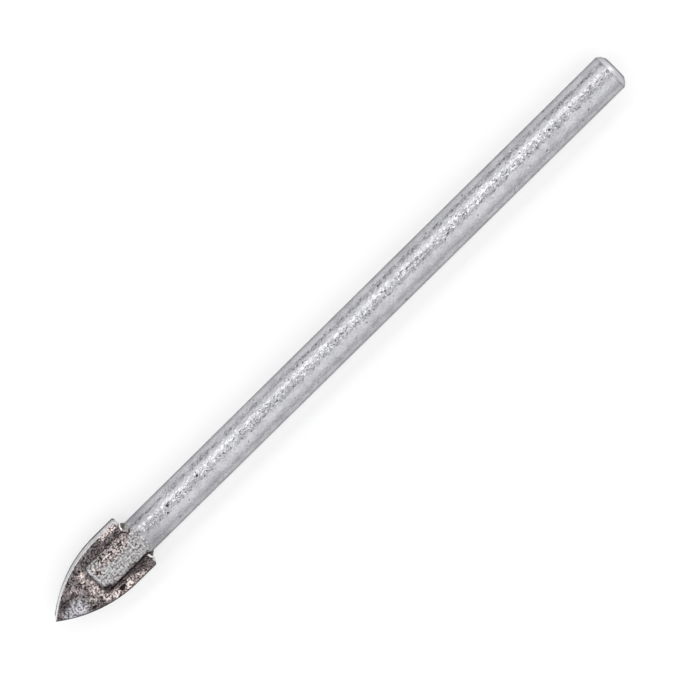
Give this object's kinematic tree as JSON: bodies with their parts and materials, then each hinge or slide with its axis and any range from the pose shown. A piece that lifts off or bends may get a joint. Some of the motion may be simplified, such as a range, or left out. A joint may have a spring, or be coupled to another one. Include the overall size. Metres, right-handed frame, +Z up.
{
  "type": "glass and tile drill bit",
  "caption": "Spear-point bit for drilling glass and tile: a ground carbide plate brazed into the slotted end of a plain round steel shank.",
  "frame": {"origin": "centre of the shank's flat end face", "axes": "+X along the bit's axis, from the point to the shank's end; +Z up, square to the faces of the carbide plate, with the bit lying on its shank"},
  "size_m": [0.074, 0.006, 0.0038],
  "materials": {
    "shank_steel": "plain matt plated steel, finely grained, with a few pits",
    "tip_carbide": "sintered tungsten carbide, dark and mottled, ground along its edges",
    "braze": "copper braze, dull and heat stained"
  },
  "bodies": {
    "root": {"shank": "shank_steel", "carbide_tip": "tip_carbide", "braze_filler": "braze"}
  },
  "joints": []
}
